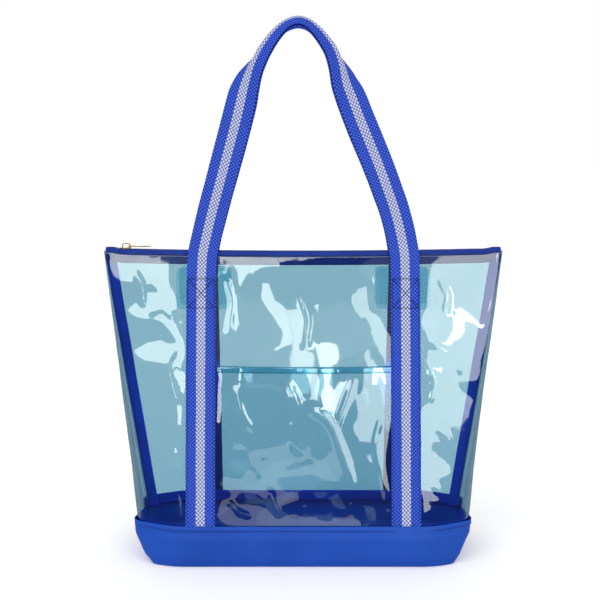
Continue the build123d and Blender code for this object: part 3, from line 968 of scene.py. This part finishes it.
def stitch(start, end, normal, radius):
    """One stitch: a short thread, its ends dipping into the cloth."""
    start, end, normal = (np.asarray(v, float) for v in (start, end, normal))
    along = unit(end - start)
    side = np.cross(along, normal)
    rings, steps = [], 6
    for share in (0.0, 0.18, 0.5, 0.82, 1.0):
        centre = start + (end - start) * share
        lift = -0.6 * radius if share in (0.0, 1.0) else 0.25 * radius
        size = radius * (0.45 if share in (0.0, 1.0) else 1.0)
        for step in range(steps):
            angle = 2 * math.pi * step / steps
            rings.append(centre + normal * (lift + size * math.sin(angle)) + side * size * math.cos(angle))
    faces = grid_faces(5, steps, closed=True)
    faces += [tuple(range(steps))[::-1], tuple(range(4 * steps, 5 * steps))]
    return np.array(rings), faces


def stitch_row(line, normals, radius=0.22 * MM, length=2.6 * MM, gap=0.5 * MM):
    """Stitches along a line of points, with the surface normal at each point."""
    line, normals = np.asarray(line, float), np.asarray(normals, float)
    runs = travelled(line)
    count = max(1, int(runs[-1] / (length + gap)))
    pitch = runs[-1] / count
    made = []
    for number in range(count):
        ends = [number * pitch + gap / 2, (number + 1) * pitch - gap / 2]
        start, end = even_line(line, runs, ends)
        normal = unit(even_line(normals, runs, [sum(ends) / 2])[0])
        made.append(stitch(start, end, normal, radius))
    return made


def on_strap(front, x, z):
    """A point on the outer face of a sewn leg, and the way it faces."""
    sign = -1 if front else 1
    y = film_y(math.copysign(STRAP_X, x), z, front) + sign * (1.3 * MM + STRAP_THICKNESS / 2 + 0.25 * MM)
    return (x, y, z), (0, sign * 0.984, 0.178)


BOX_LOW, BOX_HIGH = 303 * MM, 337 * MM  # box and cross at the top of each sewn leg
BOX_HALF = 15.5 * MM


def handle_stitching():
    """The boxes and crosses of the legs as one mesh, and their edge rows as another."""
    boxes, edges = [], []
    for front in (True, False):
        for side in (-1, 1):
            middle = side * STRAP_X
            corners = [(middle - BOX_HALF, BOX_LOW), (middle + BOX_HALF, BOX_LOW),
                       (middle + BOX_HALF, BOX_HIGH), (middle - BOX_HALF, BOX_HIGH)]
            lines = [(corners[i], corners[(i + 1) % 4]) for i in range(4)]
            lines += [(corners[0], corners[2]), (corners[1], corners[3])]
            for start, end in np.array(lines):
                places = [on_strap(front, *place) for place in np.linspace(start, end, 12)]
                boxes += stitch_row(*zip(*places), radius=0.42 * MM)
            heights = np.linspace(base_high.z + 3 * MM, BOX_LOW - 2 * MM, 60)
            for edge in (-BOX_HALF, BOX_HALF):
                places = [on_strap(front, middle + edge, z) for z in heights]
                edges += stitch_row(*zip(*places))
    return joined("box_stitches", boxes), joined("edge_stitches", edges)


box_stitches, edge_stitches = handle_stitching()
paint_piece(box_stitches, THREAD, "bag", "thread", "handle_box_stitching")
paint_piece(edge_stitches, THREAD, "bag", "thread", "handle_edge_stitching")


def hem_stitching():
    """The row that closes the base's hem."""
    columns = 400
    z = 44.6 * MM
    ring = outline(z, 0)[np.linspace(0, OUTLINE_POINTS, columns, endpoint=False).astype(int)]
    line = np.column_stack([ring + outwards_of(ring) * 0.75 * MM, np.full(columns, z)])
    line = np.vstack([line, line[:1]])
    ahead = np.gradient(line, axis=0)
    return joined("hem_stitches", stitch_row(line, units(np.cross(ahead, (0, 0, 1.0)))))


paint_piece(hem_stitching(), THREAD, "bag", "thread", "base_hem_stitching")


def rim_stitching():
    """The row that sews the film to the zipper tape, just below the rim."""
    rows = []
    for front in (True, False):
        sign = -1 if front else 1
        z = film_high.z - 2.2 * MM
        line = shell([z], np.linspace(0.02, 0.98, 200), FILM_DEPTH - 0.1 * MM, front)[0]
        rows += stitch_row(line, np.tile(FILM_FACING * (1, sign, 1), (200, 1)))
    return joined("rim_stitches", rows)


paint_piece(rim_stitching(), THREAD_PAINTED_GLINT, "bag", "thread", "zipper_stitching")


def mouth_stitching():
    """The row that holds the pocket's turned mouth down."""
    free = POCKET_FREE - 1 * MM
    z = pocket_high.z - 6.2 * MM
    line = [(x, pocket_surface(x, z) - 0.85 * MM, z) for x in np.linspace(-free, free, 90)]
    return joined("mouth_stitches", stitch_row(line, [FILM_FACING * (1, -1, 1)] * 90, radius=0.26 * MM))


paint_piece(mouth_stitching(), THREAD, "bag", "thread", "pocket_mouth_stitching")

# ---- CAD pieces that stay: slider, pull tab, end stops ----
for name in ("zipper_slider", "zipper_pull_tab", "zipper_end_stops"):
    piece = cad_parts[name]
    piece.data.materials.clear()
    piece.data.materials.append(BRASS)
    bevel = piece.modifiers.new("worn_edges", "BEVEL")
    bevel.width = 0.22 * MM
    bevel.segments = 2
    bevel.limit_method = "ANGLE"


# ---- studio ----
def backdrop():
    """Pale round floor that the gloss does not show."""
    paint = Paint("pale_floor")
    paint.set(Roughness=0.9, Emission_Color=(1, 1, 1, 1), Emission_Strength=0.14)
    paint.link(paint.ramp(paint.noise(3, 2), [(0.3, (0.90,) * 3), (0.7, (0.915,) * 3)]),
               paint.shader.inputs["Base Color"])
    count, radius = 96, 40
    ring = [(radius * math.cos(2 * math.pi * i / count), radius * math.sin(2 * math.pi * i / count), -0.0006)
            for i in range(count)]
    floor = new_mesh("floor", ring, [tuple(range(count))])
    floor.data.materials.append(paint.material)
    floor.visible_glossy = False


backdrop()


def white_world():
    """A white surround behind and beside the bag that lights cloth softly. Towards the
    camera the gloss sees a dark room, with the softboxes in it."""
    world = bpy.data.worlds.new("studio")
    world.use_nodes = True
    nodes, links = world.node_tree.nodes, world.node_tree.links
    path = nodes.new("ShaderNodeLightPath")
    direction = nodes.new("ShaderNodeSeparateXYZ")
    links.new(nodes.new("ShaderNodeTexCoord").outputs["Generated"], direction.inputs["Vector"])

    def between(factor, low, high, start=0.0, end=1.0):
        node = nodes.new("ShaderNodeMapRange")
        links.new(factor, node.inputs["Value"])
        node.inputs["From Min"].default_value, node.inputs["From Max"].default_value = start, end
        for value, slot in ((low, "To Min"), (high, "To Max")):
            if isinstance(value, float):
                node.inputs[slot].default_value = value
            else:
                links.new(value, node.inputs[slot])
        return node.outputs["Result"]

    gloss = between(direction.outputs["Y"], 0.05, 0.50, -0.40, 0.10)
    unseen = between(path.outputs["Is Glossy Ray"], 0.72, gloss)
    strength = between(path.outputs["Is Camera Ray"], unseen, 1.0)
    links.new(strength, nodes["Background"].inputs["Strength"])
    nodes["Background"].inputs["Color"].default_value = (1, 1, 1, 1)
    bpy.context.scene.world = world


white_world()


def placed(name, data, place, turn):
    """A light or camera put in the scene."""
    obj = bpy.data.objects.new(name, data)
    obj.location = place
    obj.rotation_euler = turn
    bpy.context.scene.collection.objects.link(obj)
    return obj


def softbox(name, place, target, width, height, power):
    """Rectangular warm light, aimed at a target and not seen straight through the film."""
    light = bpy.data.lights.new(name, "AREA")
    light.shape = "RECTANGLE"
    light.size, light.size_y, light.energy = width, height, power
    light.color = (1.0, 0.93, 0.84)
    turn = (Vector(target) - Vector(place)).to_track_quat("-Z", "Y").to_euler()
    obj = placed(name, light, place, turn)
    obj.visible_transmission = False
    return obj


sun = bpy.data.lights.new("sun", "SUN")
sun.energy, sun.angle = 1.3, 1.2
sun_object = placed("sun", sun, (0, 0, 0), (math.radians(38), 0, math.radians(-12)))
sun_object.visible_glossy = False

# Glare boxes, which only show in glossy surfaces: name, place, target, width, height, power.
GLARE = [
    ("glare_left", (-1.16, -2.0, 0.96), (-0.18, 0, 0.3), 1.30, 0.68, 12.0),
    ("glare_right", (1.20, -2.0, 0.64), (0.18, 0, 0.25), 1.45, 1.10, 17.0),
    ("bean", (-0.56, -2.0, 0.44), (-0.15, 0, 0.2), 0.16, 0.22, 0.55),
    ("strip_left", (-0.17, -2.0, 0.94), (-0.05, 0, 0.3), 0.16, 0.42, 1.05),
    ("strip_middle", (-0.01, -2.0, 0.74), (0, 0, 0.25), 0.15, 0.62, 1.35),
    ("strip_right", (0.17, -2.0, 0.54), (0.05, 0, 0.2), 0.11, 0.40, 0.9),
    ("spark", (1.02, -1.96, 0.66), (0.1, 0, 0.2), 0.10, 0.34, 1.0),
    ("veil", (0.1, -2.2, 0.84), (0, 0, 0.25), 1.5, 0.40, 0.6),
    ("low", (-0.25, -2.0, -0.02), (0, 0, 0.05), 0.9, 0.16, 0.4),
    ("back_left", (-0.8, 2.0, 0.85), (0, 0, 0.25), 0.7, 0.6, 7.0),
    ("back_right", (0.7, 2.0, 0.60), (0, 0, 0.25), 0.5, 0.8, 7.0),
]
for row in GLARE:
    softbox(*row).visible_diffuse = False

# a lamp in the bag brings out the cloth inside it, and shows in nothing
inside = softbox("inside", (0, 0, 0.21), (0, 0.06, 0.11), 0.34, 0.05, 0.34)
inside.visible_glossy = inside.visible_camera = False

camera_data = bpy.data.cameras.new("camera")
camera_data.lens = 64.2
camera_data.sensor_width = 36
camera = placed("camera", camera_data, (-0.0039, -1.279, 0.483), (math.pi / 2 - 0.135, 0, 0))
bpy.context.scene.camera = camera
bpy.context.scene.view_settings.view_transform = "Standard"
bpy.context.scene.cycles.transparent_max_bounces = 48
